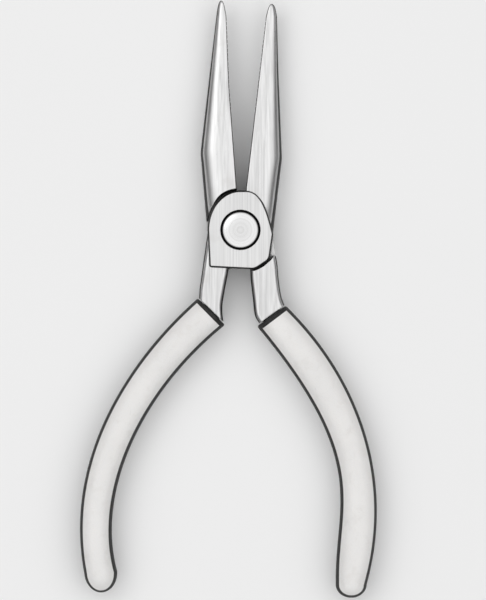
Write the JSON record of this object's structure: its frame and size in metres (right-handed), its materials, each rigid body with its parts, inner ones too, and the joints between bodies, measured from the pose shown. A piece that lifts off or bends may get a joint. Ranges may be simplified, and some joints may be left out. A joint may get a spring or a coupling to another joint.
{
  "type": "needle nose pliers",
  "caption": "Long-nose hand pliers: two tapered jaws crossing at a riveted lap joint, with bowed handles in sleeve grips.",
  "frame": {"origin": "on the pivot axis, in the plane of the rear face that the tool lies on", "axes": "+X from the left jaw towards the right jaw, +Y towards the jaw tips, +Z out of the front face along the pivot axis"},
  "size_m": [0.0793, 0.1599, 0.0108],
  "materials": {
    "forged_steel": "ground satin",
    "turned_steel": "turned bright",
    "vinyl": "fine orange peel"
  },
  "bodies": {
    "front": {"front_half": "forged_steel", "pivot_rivet": "turned_steel", "left_grip": "vinyl"},
    "rear": {"rear_half": "forged_steel", "right_grip": "vinyl"}
  },
  "joints": [
    {"name": "pivot", "type": "hinge", "parent": "front", "child": "rear", "pos_m": [0, 0, 0.005], "axis": [0, 0, 1], "range_deg": [-10.5, 27]}
  ]
}
